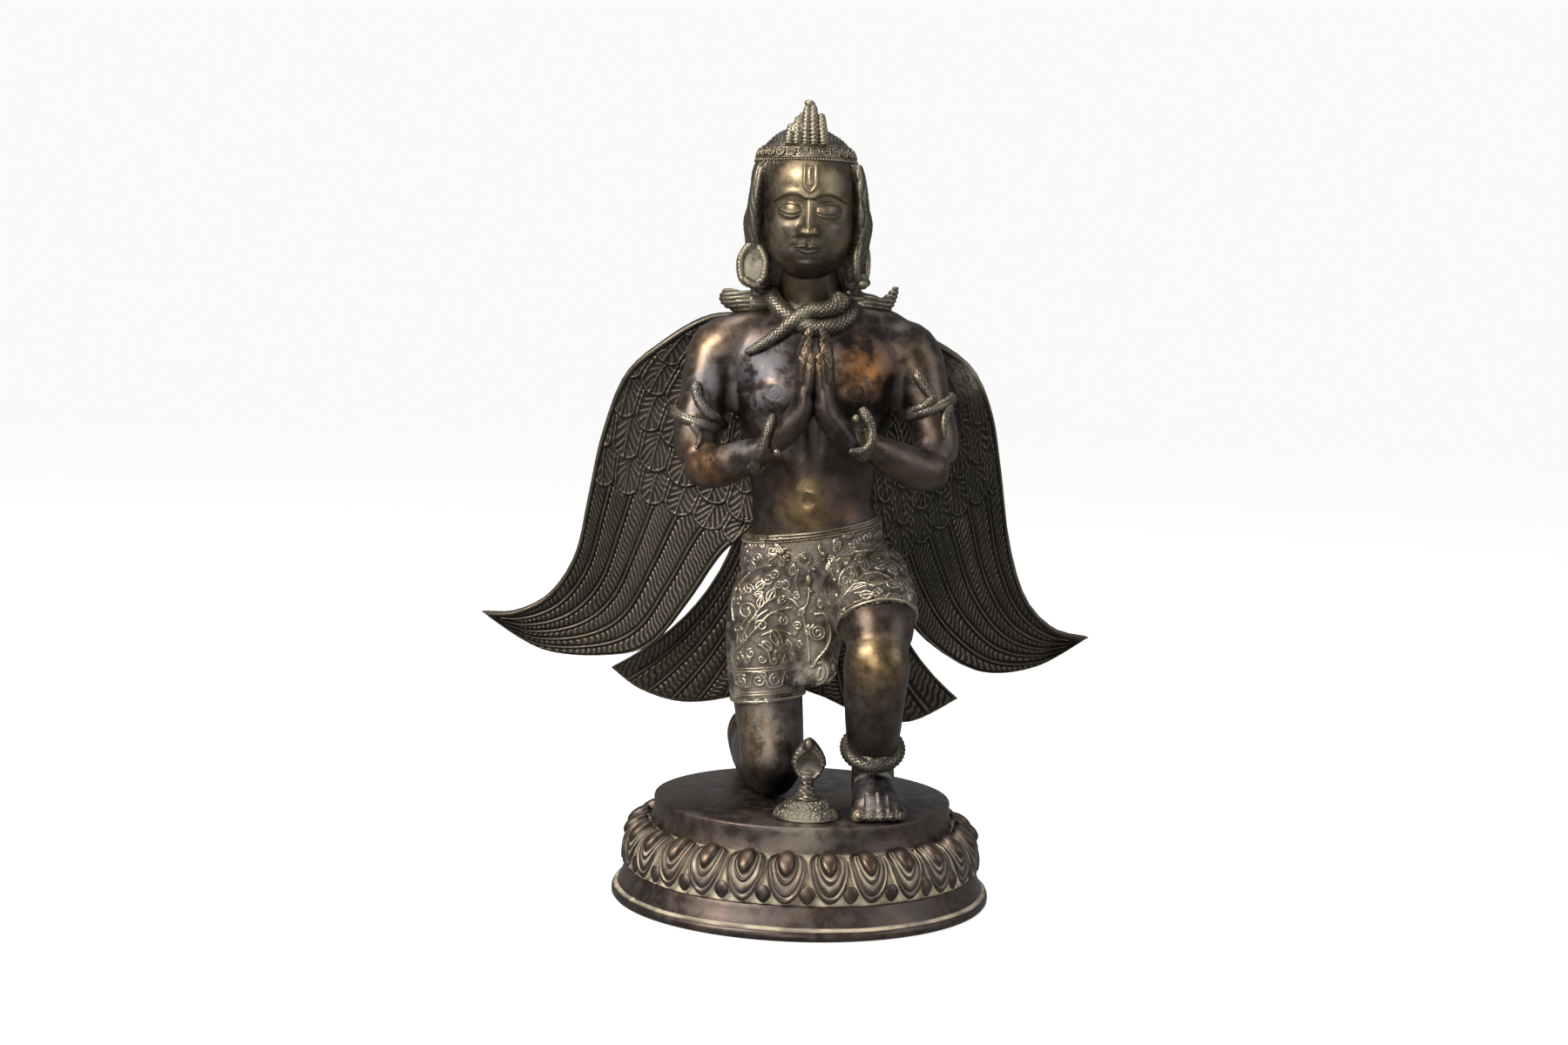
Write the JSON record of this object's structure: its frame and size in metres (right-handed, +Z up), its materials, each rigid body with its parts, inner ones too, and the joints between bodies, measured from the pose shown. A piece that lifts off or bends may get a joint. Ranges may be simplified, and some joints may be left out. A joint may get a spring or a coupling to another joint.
{
  "type": "garuda figure",
  "caption": "Cast bronze garuda kneeling on one knee with joined palms, spread wings and tail, and a small cobra in front, on a round lotus plinth.",
  "frame": {"origin": "centre of the plinth's underside", "axes": "+Z up to the tip of the crest; -Y is the way the figure faces; +X is towards the figure's left hand"},
  "size_m": [0.3922, 0.23, 0.48],
  "materials": {
    "plinth_bronze": "dark brown patina, dusty in the petals",
    "figure_bronze": "dark brown patina, worn to gold on the high spots",
    "wing_bronze": "dark patina over chased feathers",
    "tail_bronze": "dark patina over chased feathers",
    "cobra_bronze": "dusty grey-green patina"
  },
  "bodies": {
    "root": {"plinth": "plinth_bronze", "figure": "figure_bronze", "wing_right": "wing_bronze", "wing_left": "wing_bronze", "tail": "tail_bronze", "cobra": "cobra_bronze"}
  },
  "joints": []
}
